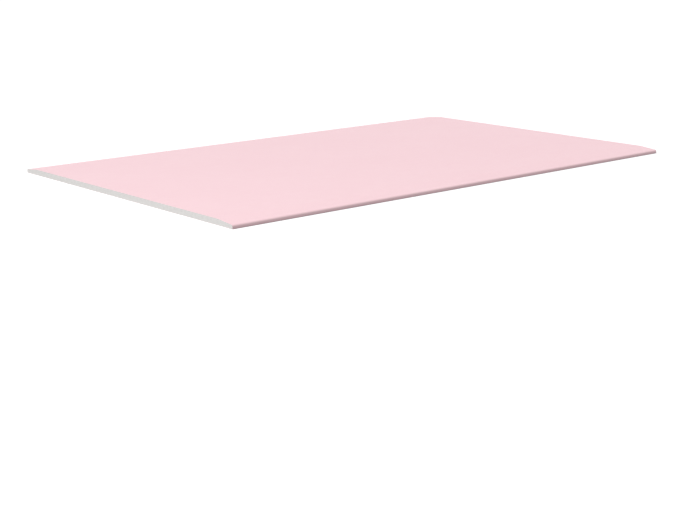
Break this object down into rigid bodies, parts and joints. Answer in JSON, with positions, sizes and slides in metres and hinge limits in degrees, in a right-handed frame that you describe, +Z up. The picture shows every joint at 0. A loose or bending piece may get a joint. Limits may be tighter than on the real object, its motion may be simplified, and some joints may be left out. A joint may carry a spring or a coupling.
{
  "type": "drywall sheet",
  "caption": "Flat gypsum board with pink paper on both sides, tapered and rounded long edges and square-cut ends, lying face up.",
  "frame": {"origin": "middle of the rectangle that the sheet covers, at the level of its back, which is its lowest plane", "axes": "+X along the sheet's length, +Y across its width, +Z up, out of its face"},
  "size_m": [2, 1.25, 0.02],
  "materials": {
    "gypsum": "matt, cut gypsum",
    "face_liner": "smooth pink liner paper",
    "back_liner": "pink liner paper"
  },
  "bodies": {
    "root": {"gypsum_core": "gypsum", "face_paper": "face_liner", "back_paper": "back_liner"}
  },
  "joints": []
}
